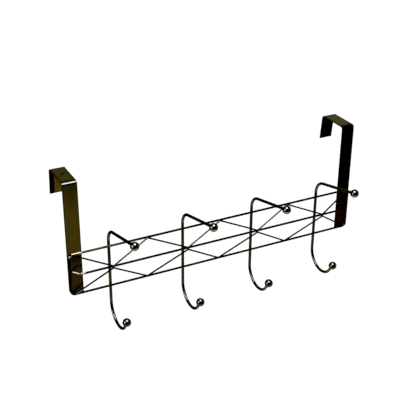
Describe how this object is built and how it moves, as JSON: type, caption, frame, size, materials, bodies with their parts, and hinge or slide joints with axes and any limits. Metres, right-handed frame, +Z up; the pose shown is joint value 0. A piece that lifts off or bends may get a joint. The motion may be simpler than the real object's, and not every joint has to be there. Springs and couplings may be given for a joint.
{
  "type": "over door hook",
  "caption": "Over-door rack of bent wire: folded steel straps hang on a door and carry an open zigzag frame with double hooks, a long prong above and a round bowl below.",
  "frame": {"origin": "midway between the straps, in the middle of the door's thickness, at the underside of the straps' bridges", "axes": "+X along the rack to the right seen from the room, -Y out of the door into the room, +Z up"},
  "size_m": [0.4, 0.1352, 0.1973],
  "materials": {
    "folded_steel": "polished black nickel plate on flat steel",
    "rail_wire": "polished black nickel plate on drawn wire",
    "lattice_wire": "polished black nickel plate on thin drawn wire",
    "hook_wire": "polished black nickel plate on thick drawn wire",
    "ball_steel": "polished black nickel plate on steel balls"
  },
  "bodies": {
    "root": {"left_strap": "folded_steel", "right_strap": "folded_steel", "frame_loop": "rail_wire", "middle_rail": "rail_wire", "upper_zigzag": "lattice_wire", "lower_zigzag": "lattice_wire", "hook_1": "hook_wire", "prong_ball_1": "ball_steel", "bowl_ball_1": "ball_steel", "hook_2": "hook_wire", "prong_ball_2": "ball_steel", "bowl_ball_2": "ball_steel", "hook_3": "hook_wire", "prong_ball_3": "ball_steel", "bowl_ball_3": "ball_steel", "hook_4": "hook_wire", "prong_ball_4": "ball_steel", "bowl_ball_4": "ball_steel"}
  },
  "joints": []
}
